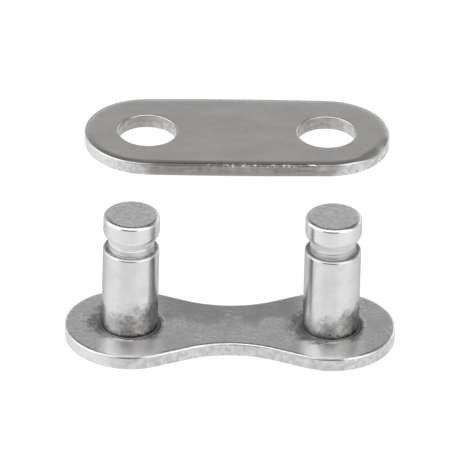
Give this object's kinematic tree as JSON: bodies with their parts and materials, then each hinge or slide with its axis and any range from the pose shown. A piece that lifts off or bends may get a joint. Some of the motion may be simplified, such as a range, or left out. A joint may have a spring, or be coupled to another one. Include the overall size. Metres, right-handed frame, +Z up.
{
  "type": "bicycle chain connecting link",
  "caption": "Press-on bicycle chain connecting link, taken apart: a waisted pin plate with grooved upright pins, and a flat outer plate whose round holes lock into the grooves.",
  "frame": {"origin": "middle of the pin plate's underside, which lies on the surface", "axes": "+X from the left pin to the right pin along the link, +Y towards the loose outer plate, +Z up the pins"},
  "size_m": [0.0212, 0.0319, 0.009],
  "materials": {
    "plate_steel": "tumbled, nickel-plated steel, satin with a fine mottled grain",
    "pin_steel": "turned and plated steel, bright satin"
  },
  "bodies": {
    "root": {"pin_plate": "plate_steel", "outer_plate": "plate_steel", "left_pin": "pin_steel", "right_pin": "pin_steel"}
  },
  "joints": []
}
